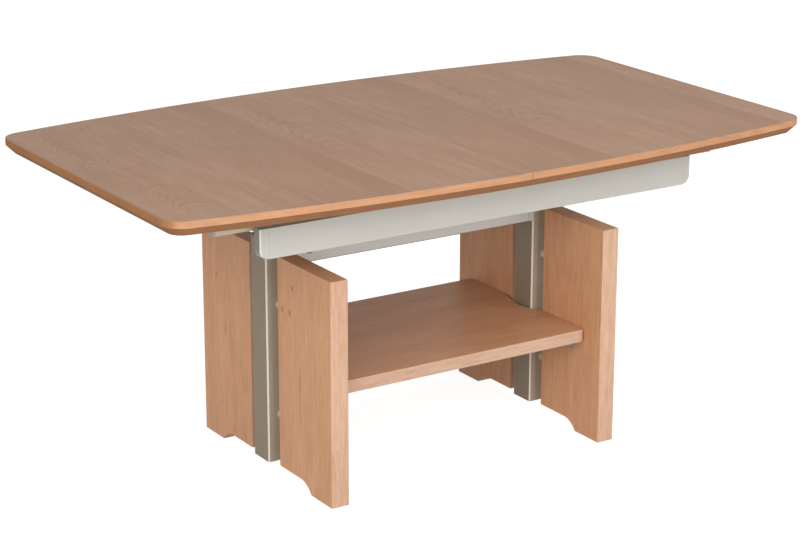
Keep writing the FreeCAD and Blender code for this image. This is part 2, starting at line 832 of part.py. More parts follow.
piston_top = gland_under - size("lift_travel") - size("gas_piston_reserve")
piston = rod("z", gas_spot, (piston_top - size("gas_piston_length"), piston_top), gas_bore - slide_gap)
rod_end = member_under + size("rod_reach")
rod_stem = rod("z", gas_spot, (piston_top, rod_end), size("gas_rod_radius"))
rod_collar = rod("z", gas_spot, (head_under - size("rod_collar_height"), head_under),
                 size("rod_collar_radius"))
pin_top = rod_end + size("pin_reach")
pin_under = pin_top - size("pin_length")
pin_bore = rod("z", gas_spot, (pin_under - size("pin_stroke_room"), rod_end + overrun),
               size("pin_radius") + run_gap)
gas_rod = cut(fuse(piston, rod_stem, rod_collar), pin_bore)
piece(group(*both(gas_rod, "x")), "gas_spring_rods")
release_pin = rod("z", gas_spot, (pin_under, pin_top), size("pin_radius"))
piece(group(*both(release_pin, "x")), "release_pins")

head_plate = cut(box(about(-leg, size("member_width")), about(0, size("head_plate_length")),
                     (head_under, member_under)), rod_stem)
piece(group(*both(head_plate, "x")), "head_plates")

# Release lever

release_y = size("release_shaft_place")
finger_under = pin_top + size("release_gap")
release_z = finger_under + size("finger_thickness") / 2
lever_end = apron_end - size("lever_setback")
release_span = (-(gas_x + size("finger_width") / 2), lever_end)
release_shaft = rod("x", (release_y, release_z), release_span, size("release_shaft_radius"))
release_fingers = []
for finger_x in (-gas_x, gas_x):
    finger_span = about(finger_x, size("finger_width"))
    release_fingers.append(rod("x", (release_y, release_z), finger_span, size("release_hub_radius")))
    release_fingers.append(box(finger_span, (-size("finger_overlap"), release_y),
                               (finger_under, finger_under + size("finger_thickness"))))
lever_span = (lever_end - size("lever_width"), lever_end)
lever_z = release_z - size("lever_drop")
lever_hub = rod("x", (release_y, release_z), lever_span, size("release_hub_radius"))
lever_crank = box(lever_span, about(release_y, size("lever_thickness")), (lever_z, release_z))
lever_paddle = box(lever_span, (release_y - size("lever_thickness") / 2, release_y + size("lever_reach")),
                   (lever_z, lever_z + size("lever_thickness")))
piece(fuse(release_shaft, *release_fingers, lever_hub, lever_crank, lever_paddle), "release_lever")
release_bore = rod("x", (release_y, release_z), (release_span[0] - overrun, release_span[1] + overrun),
                   size("release_shaft_radius") + run_gap)

# Frame under the top

member_ear = size("member_ear")
frame_screw_z = (member_top + member_under) / 2


def frame_screw(x):
    """A screw through a cross member's end plate into the front apron."""
    head = rod("y", (x, frame_screw_z), (-member_end, -member_end + size("frame_screw_head_height")),
               size("frame_screw_head_radius"))
    shank = rod("y", (x, frame_screw_z),
                (-(apron_inside + size("apron_wall") + size("frame_screw_reach")), -member_end),
                size("frame_screw_radius"))
    return fuse(head, shank)


def cross_member(centre, width):
    """An inverted channel from apron to apron with an end plate at each apron, and its screws."""
    wall = size("member_wall")
    channel = cut(box(about(centre, width), (-member_end, member_end), (member_under, member_top)),
                  box(about(centre, width - wall * 2), (-member_end - overrun, member_end + overrun),
                      (member_under - overrun, member_top - wall)))
    plate = box(about(centre, width + member_ear * 2), (-apron_inside, -member_end),
                (member_under, member_top))
    ear = (width + member_ear) / 2
    places = (-ear, ear) if centre == 0 else (centre - ear, centre + ear)
    screws = group(*[copy for x in places for copy in both(frame_screw(x), "y")])
    return cut(fuse(channel, *both(plate, "y")), screws, release_bore), screws


left_member, left_screws = cross_member(-leg, size("member_width"))
right_member, right_screws = cross_member(leg, size("member_width"))
centre_member, centre_screws = cross_member(0, size("centre_member_width"))
frame_screws = group(left_screws, right_screws, centre_screws)
piece(left_member, "left_cross_member")
piece(right_member, "right_cross_member")
piece(centre_member, "centre_cross_member")
piece(frame_screws, "frame_screws")

apron_wall = size("apron_wall")
apron_body_end = apron_end - size("cap_length")
apron_sides = (-size("apron_face"), -apron_inside)
apron_hollow_sides = (apron_sides[0] + apron_wall, apron_sides[1] - apron_wall)
apron_floor = apron_under + apron_wall
apron_rear_top = apron_top - size("apron_rear_drop")
apron_solid = padded("apron", "YZ_Plane", (-apron_body_end, apron_body_end),
                     rectangle(apron_sides, (apron_under, apron_top)))
rounded(apron_solid, size("apron_edge_radius"), is_along_x)
apron_length_cut = (-apron_body_end - overrun, apron_body_end + overrun)
apron_hollow = box(apron_length_cut, apron_hollow_sides, (apron_floor, apron_top + overrun))
apron_rear_cut = box(apron_length_cut, (apron_hollow_sides[0], apron_sides[1] + overrun),
                     (apron_rear_top, apron_top + overrun))
apron = cut(apron_solid, apron_hollow, apron_rear_cut, frame_screws)
piece(apron, "front_apron")
piece(mirror(apron, "y"), "rear_apron")

cap_radius = size("cap_length") - size("cap_flat") - size("cap_joint")
cap_inner = apron_body_end + size("cap_joint")
cap_shell = padded("end_cap", "XZ_Plane", apron_sides, [
    (-apron_end + cap_radius, apron_under),
    (-cap_inner, apron_under),
    (-cap_inner, apron_top),
    (-apron_end, apron_top),
    (-apron_end, apron_under + cap_radius, cap_radius, 1),
])


def is_cap_rim(edge):
    limits = edge.BoundBox
    margin = overrun.value / 10
    in_face = limits.YLength < margin
    at_joint = limits.XMin > -cap_inner.value - margin
    at_top = limits.ZMin > apron_top.value - margin
    return in_face and not at_joint and not at_top


rounded(cap_shell, size("cap_rim_radius"), is_cap_rim)
cap_plug_top = apron_floor + size("cap_plug_height")
cap_plug = box((-cap_inner, -apron_body_end + size("cap_plug")), apron_hollow_sides,
               (apron_floor, cap_plug_top))
cap_inside = (-apron_end + size("cap_wall"), -cap_inner + overrun)
cap_hollow = box(cap_inside, apron_hollow_sides, (cap_plug_top, apron_top + overrun))
cap_rear_cut = box(cap_inside, (apron_hollow_sides[0], apron_sides[1] + overrun),
                   (apron_rear_top, apron_top + overrun))
piece(group(*four(cut(fuse(cap_shell, cap_plug), cap_hollow, cap_rear_cut))), "apron_end_caps")

# Rails: a bar on the frame at each side, and a runner under each half of the top

rail_y = size("rail_centre")
rail_half = size("rail_width") / 2
rail_wall = size("rail_wall")
rail_mouth = rail_half - rail_wall - size("rail_lip")
runner_end = top_half - size("runner_setback")
runner_start = size("runner_seam_gap")
screw_inset = size("rail_screw_inset")
runner_middle = (runner_end + runner_start) / 2
runner_screws = [wood_screw("z", (-x, -rail_y), rail_inside_top, rail_wall + size("screw_grip"))
                 for x in (runner_start + screw_inset, runner_middle, runner_end - screw_inset)]
runner = padded("runner", "YZ_Plane", (-runner_end, -runner_start), [
    (-rail_y - rail_half, top_under),
    (-rail_y - rail_half, rail_under),
    (-rail_y - rail_mouth, rail_under),
    (-rail_y - rail_mouth, rail_under + rail_wall),
    (-rail_y - rail_half + rail_wall, rail_under + rail_wall),
    (-rail_y - rail_half + rail_wall, rail_inside_top),
    (-rail_y + rail_half - rail_wall, rail_inside_top),
    (-rail_y + rail_half - rail_wall, rail_under + rail_wall),
    (-rail_y + rail_mouth, rail_under + rail_wall),
    (-rail_y + rail_mouth, rail_under),
    (-rail_y + rail_half, rail_under),
    (-rail_y + rail_half, top_under),
])
left_runner = cut(runner, *runner_screws)
piece(group(*both(left_runner, "y")), "left_runners")
piece(group(*[mirror(solid, "x") for solid in both(left_runner, "y")]), "right_runners")

bar_sides = about(-rail_y, bar_half * 2)
bar_end = apron_end - size("bar_bracket_setback")
bar = box((-bar_end, bar_end), bar_sides, (bar_under, bar_top))
piece(group(*both(bar, "y")), "slide_bars")
post_half = rail_mouth - size("post_clearance")
post = box(about(-leg, size("member_width")), about(-rail_y, post_half * 2), (member_top, bar_under))
piece(group(*four(post)), "bar_posts")
bracket_top = rail_under - size("bar_bracket_clearance")
bracket_span = (-bar_end, -bar_end + size("bar_bracket_width"))
bracket_under = bracket_top - size("bar_bracket_thickness")
bar_bracket = fuse(
    box(bracket_span, about(-rail_y, post_half * 2), (bracket_under, bar_under)),
    box(bracket_span, (-apron_inside, -rail_y + post_half), (bracket_under, bracket_top)))
piece(group(*four(bar_bracket)), "bar_brackets")
pads = [box(about(-x, size("pad_length")), bar_sides, (bar_top, bar_top + size("pad_thickness")))
        for x in (size("pad_outer_place"), size("pad_inner_place"))]
piece(group(*[copy for pad in pads for copy in four(pad)]), "slide_pads")

# Pinion between the two racks of the top

bridge_inner = leaf_half_width + size("leaf_gap")
bridge_outer = bridge_inner + size("bridge_leg")
bridge = padded("bridge", "YZ_Plane", about(0, size("bridge_width")), [
    (-bridge_outer, member_top),
    (-bridge_inner, member_top),
    (-bridge_inner, bridge_under),
    (bridge_inner, bridge_under),
    (bridge_inner, member_top),
    (bridge_outer, member_top),
    (bridge_outer, bridge_top),
    (-bridge_outer, bridge_top),
])
axle_cap_under = rack_top + size("axle_play")
axle_stem = rod("z", (0, 0), (bridge_under, axle_cap_under), size("axle_radius"))
axle_collar = rod("z", (0, 0), (bridge_top, rack_under - size("axle_play")), size("axle_collar_radius"))
axle_cap_top = axle_cap_under + size("axle_cap_height")
axle_cap = rod("z", (0, 0), (axle_cap_under, axle_cap_top), size("axle_cap_radius"))
piece(cut(bridge, axle_stem), "pinion_bridge")
piece(fuse(axle_stem, axle_collar, axle_cap), "pinion_axle")
top_module = size("top_gear_module")
top_gear = cut_teeth(gear_face(top_module.value, TOP_PINION_TEETH), size("top_gear_thickness"),
                     FreeCAD.Placement(spot(0, 0, rack_under), Rotation()))
gear_bore = rod("z", (0, 0), (rack_under - overrun, rack_top + overrun), size("axle_radius") + run_gap)
piece(cut(top_gear, gear_bore), "top_pinion")

leaf_glides = [box(about(centre, size("leaf_glide_width")), about(0, size("leaf_glide_length")),
                   (member_top, leaf_under)) for centre in (-leg, 0, leg)]
piece(group(*leaf_glides), "leaf_glides")

# Racks of the top

top_tip = top_pitch_radius + top_module * 2
rack_tail = size("top_rack_tail")
rack_head = size("extension_stroke") + top_tip
rack_back = size("top_rack_back")
right_rack_teeth = cut_teeth(
    rack_face(top_module.value, rack_back.value, -rack_head.value, rack_tail.value,
              -rack_head.value, top_tip.value),
    size("top_gear_thickness"),
    FreeCAD.Placement(spot(0, top_pitch_radius, rack_under), Rotation()))
rack_root_y = top_pitch_radius + top_module * ROOT_SHARE
rack_sides = (rack_root_y, rack_root_y + rack_back)
foot_length = size("rack_foot_length")
foot_starts = (size("rack_foot_inset"), rack_tail - foot_length)
rack_feet = [box((start, start + foot_length), rack_sides, (rack_top, top_under)) for start in foot_starts]
rack_middle = rack_root_y + rack_back / 2
rack_screws = [wood_screw("z", (start + foot_length / 2, rack_middle), rack_under,
                          top_under - rack_under + size("screw_grip")) for start in foot_starts]
right_rack = cut(fuse(right_rack_teeth, *rack_feet), *rack_screws)
piece(right_rack, "right_top_rack")
piece(mirror(mirror(right_rack, "x"), "y"), "left_top_rack")

left_top_screws = group(*[copy for solid in runner_screws for copy in both(solid, "y")],
                        *[mirror(mirror(solid, "x"), "y") for solid in rack_screws])
right_top_screws = group(*[mirror(copy, "x") for solid in runner_screws for copy in both(solid, "y")],
                         *rack_screws)
piece(left_top_screws, "left_top_screws")
piece(right_top_screws, "right_top_screws")

# The two halves of the top


def half_outline(end, middle_half, end_half):
    """Outline of the left half of a top whose long sides are shallow arcs, bowed out or in."""
    swell = middle_half - end_half
    turn = 1 if swell.value > 0 else -1
    radius = (end * end + swell * swell) / (swell * 2) * turn
    return [
        (-end, -end_half, radius, turn),
        (-seam, -middle_half),
        (-seam, middle_half, radius, turn),
        (-end, end_half),
    ]


def is_end_corner(edge):
    return is_upright(edge) and edge.BoundBox.XMin < -top_half.value + overrun.value


def is_lower_rim(edge):
    limits = edge.BoundBox
    return limits.ZMax < top_under.value + overrun.value and limits.XMin < -overrun.value


middle_half = size("top_middle_width") / 2
end_half = size("top_end_width") / 2
lipping_width = size("lipping_width")
outer_outline = half_outline(top_half, middle_half, end_half)
core_outline = half_outline(top_half - lipping_width, middle_half - lipping_width, end_half - lipping_width)

lipping = padded("lipping", "XY_Plane", (top_under, veneer_under), outer_outline)
rounded(lipping, size("top_corner_radius"), is_end_corner)
bevelled(lipping, size("edge_bevel"), is_lower_rim)
pocketed(lipping, veneer_under, core_outline)
core = padded("core", "XY_Plane", (top_under, veneer_under), core_outline)
veneer = padded("veneer", "XY_Plane", (veneer_under, size("top_height")), outer_outline)
rounded(veneer, size("top_corner_radius"), is_end_corner)

dowel_z = (top_under + veneer_under) / 2
dowel_gap = size("dowel_clearance")
dowel_places = (0, size("dowel_spacing"))
dowel_span = (-seam - size("dowel_depth"), -seam + size("dowel_reach"))
dowels = [rod("x", (y, dowel_z), dowel_span, size("dowel_radius")) for y in dowel_places]
dowels.append(mirror(dowels[1], "y"))
bores = [rod("x", (y, dowel_z), (seam - overrun, seam + size("dowel_reach") + dowel_gap),
             size("dowel_radius") + dowel_gap) for y in dowel_places]
bores.append(mirror(bores[1], "y"))
piece(cut(core, *dowels, left_top_screws), "left_top_core")
piece(cut(mirror(core, "x"), *bores, right_top_screws), "right_top_core")
piece(lipping, "left_top_lipping")
piece(mirror(lipping, "x"), "right_top_lipping")
piece(veneer, "left_top_veneer")
piece(mirror(veneer, "x"), "right_top_veneer")
piece(group(*dowels), "seam_dowels")

# Insert leaf

leaf_core_end = leaf_half_length - lipping_width
leaf_veneer_under = leaf_top - size("veneer_thickness")
leaf_sides = (-leaf_half_width, leaf_half_width)
leaf_bore_z = (leaf_under + leaf_veneer_under) / 2
leaf_bores = [rod("y", (x, leaf_bore_z),
                  (-leaf_half_width - overrun, -leaf_half_width + size("dowel_reach") + dowel_gap),
                  size("dowel_radius") + dowel_gap) for x in dowel_places]
leaf_bores.append(mirror(leaf_bores[1], "x"))
leaf_core = box((-leaf_core_end, leaf_core_end), leaf_sides, (leaf_under, leaf_veneer_under))
piece(cut(leaf_core, *leaf_bores), "leaf_core")
leaf_edge = padded("leaf_edge", "XZ_Plane", leaf_sides, [
    (leaf_core_end, leaf_under),
    (leaf_half_length - size("edge_bevel"), leaf_under),
    (leaf_half_length, leaf_under + size("edge_bevel")),
    (leaf_half_length, leaf_veneer_under),
    (leaf_core_end, leaf_veneer_under),
])
piece(group(*both(leaf_edge, "x")), "leaf_lipping")
piece(box((-leaf_half_length, leaf_half_length), leaf_sides, (leaf_veneer_under, leaf_top)), "leaf_veneer")

# Writing the pieces

doc.recompute()
for item in doc.Objects:
    if "Invalid" in item.State or "Error" in item.State:
        raise RuntimeError(f"{item.Label} did not build: {item.State}")
for item in PIECES:
    if item.Shape.isNull() or not item.Shape.isValid():
        raise RuntimeError(f"{item.Label} has no valid shape")
os.makedirs("parts", exist_ok=True)
for item in PIECES:
    item.Shape.exportStep(f"parts/{item.Label}.step")
    print(item.Label, len(item.Shape.Solids), round(item.Shape.Volume))
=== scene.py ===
import json
import math

import bpy
from mathutils import Matrix, Vector


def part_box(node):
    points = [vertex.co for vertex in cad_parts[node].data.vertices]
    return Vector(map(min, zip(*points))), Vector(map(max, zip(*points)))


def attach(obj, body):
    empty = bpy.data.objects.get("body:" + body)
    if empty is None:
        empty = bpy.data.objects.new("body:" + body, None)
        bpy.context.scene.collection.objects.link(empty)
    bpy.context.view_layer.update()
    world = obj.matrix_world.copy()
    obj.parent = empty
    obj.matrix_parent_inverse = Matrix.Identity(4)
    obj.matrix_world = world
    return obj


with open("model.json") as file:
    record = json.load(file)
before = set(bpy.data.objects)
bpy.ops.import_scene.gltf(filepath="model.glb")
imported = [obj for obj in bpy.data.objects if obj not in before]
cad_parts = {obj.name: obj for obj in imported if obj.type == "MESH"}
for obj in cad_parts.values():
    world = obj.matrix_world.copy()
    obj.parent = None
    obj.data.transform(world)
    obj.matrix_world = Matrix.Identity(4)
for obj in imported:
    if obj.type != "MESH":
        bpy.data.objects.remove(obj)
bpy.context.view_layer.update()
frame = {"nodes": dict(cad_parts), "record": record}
nodes = frame["nodes"]
scene = bpy.context.scene

# Camera at the photograph's viewing angle, in metres, degrees and millimetres of lens
CAMERA_PLACE = (-1.9934, -3.0867, 1.4498)
CAMERA_AZIMUTH = -32.738
CAMERA_ELEVATION = 17.406
CAMERA_ROLL = 0.114
CAMERA_LENS = 101.32
SENSOR_WIDTH = 36.0

# Light: azimuth from the front and elevation in degrees, and power in watts
LIGHTS = {
    "front_left": (-50.0, 20.0, 75.0),
    "front_high": (0.0, 42.0, 50.0),
    "front_low": (8.0, 12.0, 66.0),
    "right_high": (100.0, 40.0, 34.0),
}
LIGHT_SIZE = 2.4
LIGHT_DISTANCE = 4.0
LIGHT_TARGET = (0.0, 0.0, 0.3)
WORLD_STRENGTH = 0.375
FLOOR_SIZE = 14.0
FLOOR_ALBEDO = 0.6
FLOOR_SHADE_SHARE = 0.3
FLOOR_GLOW = 0.9

# Wood, in linear colour
CHEEK_WOOD = (0.665, 0.346, 0.183)
# Paler, less saturated colour of the cheeks' edges: a painted sheen
EDGE_SHEEN_WOOD = (0.551, 0.339, 0.231)
SHELF_WOOD = (0.485, 0.235, 0.123)
# Paler, less saturated colour of the shelf's edges: a painted sheen
SHELF_EDGE_SHEEN_WOOD = (0.47, 0.29, 0.20)
LIPPING_WOOD = (0.485, 0.25, 0.135)
# Darker colour of the lipping's ends, which point along x: painted shade
LIPPING_END_SHADE_WOOD = (0.40, 0.185, 0.078)
VENEER_WOOD = (0.385, 0.236, 0.158)
DOWEL_WOOD = (0.62, 0.45, 0.30)
PORE_WOOD = (0.20, 0.09, 0.045)
KNOT_WOOD = (0.17, 0.07, 0.035)
BEVEL_SHADE = (0.64, 0.58, 0.51)

# Specular level and roughness of the wood
WOOD_SHINE = 0.18
VENEER_SHINE = 0.08
SHELF_SHINE = 0.11
LIPPING_SHINE = 0.03
WOOD_ROUGH = 0.45
VENEER_ROUGH = 0.52
BACK_ROUGH = 0.55
LIPPING_ROUGH = 0.6
DOWEL_ROUGH = 0.6

# Contrast of the grain, as a share of the colour
CHEEK_CONTRAST = 0.17
SHELF_CONTRAST = 0.24
VENEER_CONTRAST = 0.17
LIPPING_CONTRAST = 0.15
DOWEL_CONTRAST = 0.12

# Grain: noise repeats per metre across, along and through the board, the noise's detail and
# roughness, and weights in the tone
BEND_SCALE = (7.0, 3.0, 7.0)
BEND_NOISE = (2.0, 0.5)
BEND_REACH = 0.010
STREAK_SCALE = (55.0, 3.4, 50.0)
STREAK_NOISE = (5.0, 0.7)
STREAK_WEIGHT = 1.0
LINE_SCALE = (250.0, 20.0, 220.0)
LINE_NOISE = (3.0, 0.75)
LINE_WEIGHT = 1.4
PATCH_SCALE = (14.0, 4.5, 12.0)
PATCH_NOISE = (3.0, 0.5)
PATCH_WEIGHT = 0.8
DASH_SCALE = (420.0, 38.0, 380.0)
DASH_NOISE = (2.0, 0.6)
PORE_SPAN = (0.12, 0.26)
WOOD_PORES = 0.2
VENEER_PORES = 0.55
# Relief of the grain: weights of lines and pores, then depth in metres and strength
LINE_RELIEF = 0.6
PORE_RELIEF = -0.8
GRAIN_BUMP = (0.0003, 0.3)
# Roughness of the grain: from smoother to rougher than the wood's own, over a span of the line noise
GRAIN_ROUGH_SPAN = (-0.2, 0.3)
GRAIN_SMOOTHER = 0.05
GRAIN_ROUGHER = 0.08
# Knots: noise of their ragged outline, its weight, and where they fade, in radii
RAGGED_SCALE = (500.0, 500.0, 300.0)
RAGGED_WEIGHT = 0.8
MARK_FADE = (0.35, 1.3)
# Powers of the grain's tone in red, green and blue
TONE_POWERS = (0.72, 1.0, 1.2)

# Veneer leaves, flames in their figure, and the shelf's staves; widths and starts in metres
VENEER_LEAF_WIDTH = 0.38
VENEER_LEAF_START = 0.215
LEAF_DARK_SIDE = -0.2
LEAF_DARK_SPAN = (0.80, 0.97)
LEAF_MIDDLE = -0.1
LEAF_MIDDLE_SPAN = (0.0, 0.5)
FLAME_RINGS = 11.0
FLAME_ARCH = 0.9
FLAME_WANDER = 0.5
FLAME_WANDER_SCALE = (28.0, 9.0, 1.0)
FLAME_FADE = (0.25, 1.0)
FLAME_WEIGHT = 0.15
SHELF_STAVE_WIDTH = 0.1
SHELF_STAVE_START = 0.04
SHELF_STAVE_CHANGE = 0.5
STAVE_SEED = 0.37
STAVE_JUMP = 3.1

# Where a face's painted sheen, painted shade or painted highlight begins and is full, by how far the face
# points that way
# Wood's faces across the edge axis: painted sheen on the boards' edges, painted shade on the lipping's ends
WOOD_EDGE_SHEEN_AND_SHADE_FACING = (0.6, 0.8)
# Wood's faces that point down: painted shade
WOOD_DOWN_SHADE_FACING = (-0.55, -0.3)
# Paint's faces that point along x: painted shade
PAINT_END_SHADE_FACING = (0.75, 0.95)
# Paint's upright rounded edges, pointing between x and y: painted highlight
PAINT_HIGHLIGHT_FACING = (0.30, 0.42)
# Paint's faces that point down: painted shade
PAINT_DOWN_SHADE_FACING = (-0.6, -0.3)

# Metal, in linear colour
COLUMN_PAINT = (0.405, 0.33, 0.245)
# Darker colour of the columns' faces that point along x: painted shade
COLUMN_END_SHADE = (0.285, 0.23, 0.163)
# Light colour of the columns' upright rounded edges: a painted highlight
COLUMN_HIGHLIGHT = (0.78, 0.75, 0.66)
APRON_PAINT = (0.49, 0.478, 0.432)
# Darker colour of the end caps' faces that point along x: painted shade
APRON_END_SHADE = (0.28, 0.27, 0.24)
# Light colour of the end caps' upright rounded edges: a painted highlight
APRON_HIGHLIGHT = (0.80, 0.78, 0.73)
BEAM_PAINT = (0.593, 0.586, 0.545)
# Dark colour of the beam's faces that point down: painted shade
BEAM_UNDER_SHADE = (0.12, 0.11, 0.10)
STANDOFF_PAINT = (0.66, 0.63, 0.56)
RUNNER_METAL = (0.526, 0.454, 0.338)
SLIDE_BAR_PAINT = (0.46, 0.45, 0.42)
BRACKET_ZINC = (0.29, 0.28, 0.30)
BLACK_PAINT = (0.02, 0.02, 0.022)
LIFTING_STEEL = (0.46, 0.45, 0.43)
BRIGHT_STEEL = (0.70, 0.68, 0.65)
GEAR_STEEL = (0.45, 0.44, 0.43)
SCREW_STEEL = (0.62, 0.61, 0.58)
PAINT_SHINE = 0.18

# Paint, drawn metal and moulded plastic: noise repeats per metre and weights, spans of the noise, change
# of roughness over the span, and depth in metres and strength of the relief
PEARL_SCALE = (1600.0, 1600.0, 1600.0)
PEARL_WEIGHT = 2.0
CLOUD_SCALE = (14.0, 14.0, 14.0)
CLOUD_WEIGHT = 1.0
CLOUD_SPAN = (-0.2, 0.2)
CLOUD_ROUGHER = 0.06
PEEL_SCALE = (420.0, 420.0, 420.0)
PEEL_BUMP = (0.0002, 0.12)
DRAWN_ALONG = 18.0
DRAWN_ACROSS = 1500.0
DRAWN_SPAN = (0.3, 0.7)
DRAWN_SHADE = 0.82
DRAWN_ROUGHER = 0.14
DRAWN_BUMP = (0.0001, 0.2)
MOULD_SCALE = 900.0
MOULD_TINT_SPAN = (0.35, 0.75)
MOULD_TINT = 1.25
MOULD_SPAN = (0.3, 0.7)
MOULD_ROUGHER = 0.12
MOULD_BUMP = (0.0002, 0.25)

# Plastic, in linear colour
PLUG_PLASTIC = (0.17, 0.155, 0.12)
# Dark brown of the band in the seam: painted shade
SEAM_SHADE_PLASTIC = (0.16, 0.09, 0.055)
RUNNER_PLUG_PLASTIC = (0.34, 0.32, 0.36)
BLACK_PLASTIC = (0.035, 0.035, 0.037)
BROWN_PLASTIC = (0.10, 0.08, 0.06)

# Blanking plug of the cross beam's access hole, in metres: centre in x and z, radius and depth of each ring
PLUG_CENTRE = (-0.208, 0.377)
PLUG_PROFILE = ((0.0085, 0.0012), (0.0092, 0.0004), (0.0103, 0.0004), (0.0103, 0.0020))
PLUG_STEPS = 48

# Dark band on the left half's edge in the seam, a sheet that stands for the seam's shade, in metres
BAND_THICKNESS = 0.0004
BAND_END_INSET = 0.006
BAND_TOP_INSET = 0.004
BAND_HEIGHT = 0.007

# Plugs in the outer ends of the runners, in metres
RUNNER_WIDTH = 0.019
RUNNER_PLUG_LENGTH = 0.004
RUNNER_PLUG_CHAMFER = 0.0015


class Graph:
    """A material's node tree, with short calls for the nodes that the finishes share."""

    def __init__(self, name):
        self.material = bpy.data.materials.new(name)
        self.material.use_nodes = True
        tree = self.material.node_tree
        tree.nodes.clear()
        self.nodes = tree.nodes
        self.links = tree.links
        self.output = self.nodes.new("ShaderNodeOutputMaterial")

    def put(self, socket, value):
        if isinstance(value, bpy.types.NodeSocket):
            self.links.new(value, socket)
        elif isinstance(value, tuple) and len(value) == 3 and socket.type == "RGBA":
            socket.default_value = (*value, 1.0)
        else:
            socket.default_value = value

    def math(self, operation, *values):
        node = self.nodes.new("ShaderNodeMath")
        node.operation = operation
        for socket, value in zip(node.inputs, values):
            self.put(socket, value)
        return node.outputs[0]

    def places(self, kind="Object"):
        """The point's own x, y and z in metres, or with "Normal" the way its face points."""
        coordinate = self.nodes.new("ShaderNodeTexCoord")
        split = self.nodes.new("ShaderNodeSeparateXYZ")
        self.links.new(coordinate.outputs[kind], split.inputs[0])
        return dict(zip("xyz", split.outputs))

    def stretched(self, place, scales, detail, roughness=0.5):
        """Noise with its own scale along each axis, in repeats per metre, from -0.5 to 0.5."""
        parts = [self.math("MULTIPLY", value, scale) for value, scale in zip(place, scales)]
        return self.math("SUBTRACT", self.noise(self.vector(*parts), detail, roughness), 0.5)

    def total(self, start, *terms):
        """A start plus each value times its weight."""
        value = start
        for term, weight in terms:
            value = self.math("MULTIPLY_ADD", term, weight, value)
        return value

    def vector(self, x, y, z):
        node = self.nodes.new("ShaderNodeCombineXYZ")
        for socket, value in zip(node.inputs, (x, y, z)):
            self.put(socket, value)
        return node.outputs[0]

    def noise(self, place, detail=2.0, roughness=0.5):
        node = self.nodes.new("ShaderNodeTexNoise")
        node.inputs["Scale"].default_value = 1.0
        node.inputs["Detail"].default_value = detail
        node.inputs["Roughness"].default_value = roughness
        self.links.new(place, node.inputs["Vector"])
        return node.outputs[0]

    def random(self, value):
        node = self.nodes.new("ShaderNodeTexWhiteNoise")
        node.noise_dimensions = "1D"
        self.put(node.inputs["W"], value)
        return node.outputs[0]

    def span(self, value, low, high, start=0.0, end=1.0):
        """The value carried smoothly from low..high to start..end, and held outside."""
        node = self.nodes.new("ShaderNodeMapRange")
        node.interpolation_type = "SMOOTHSTEP"
        for socket, number in zip(node.inputs, (value, low, high, start, end)):
            self.put(socket, number)
        return node.outputs[0]

    def mix(self, share, first, second, blend="MIX"):
        node = self.nodes.new("ShaderNodeMix")
        node.data_type = "RGBA"
        node.blend_type = blend
        self.put(node.inputs["Factor"], share)
        colours = [socket for socket in node.inputs if socket.type == "RGBA"]
        self.put(colours[0], first)
        self.put(colours[1], second)
        return next(socket for socket in node.outputs if socket.type == "RGBA")

    def bump(self, height, distance, strength):
        node = self.nodes.new("ShaderNodeBump")
        node.inputs["Strength"].default_value = strength
        node.inputs["Distance"].default_value = distance
        self.links.new(height, node.inputs["Height"])
        return node.outputs[0]

    def surface(self, **values):
        """The shader: each value is a number, a colour or a socket."""
        shader = self.nodes.new("ShaderNodeBsdfPrincipled")
        for name, value in values.items():
            self.put(shader.inputs[name.replace("_", " ")], value)
        self.links.new(shader.outputs["BSDF"], self.output.inputs["Surface"])
        return self.material


# Wood

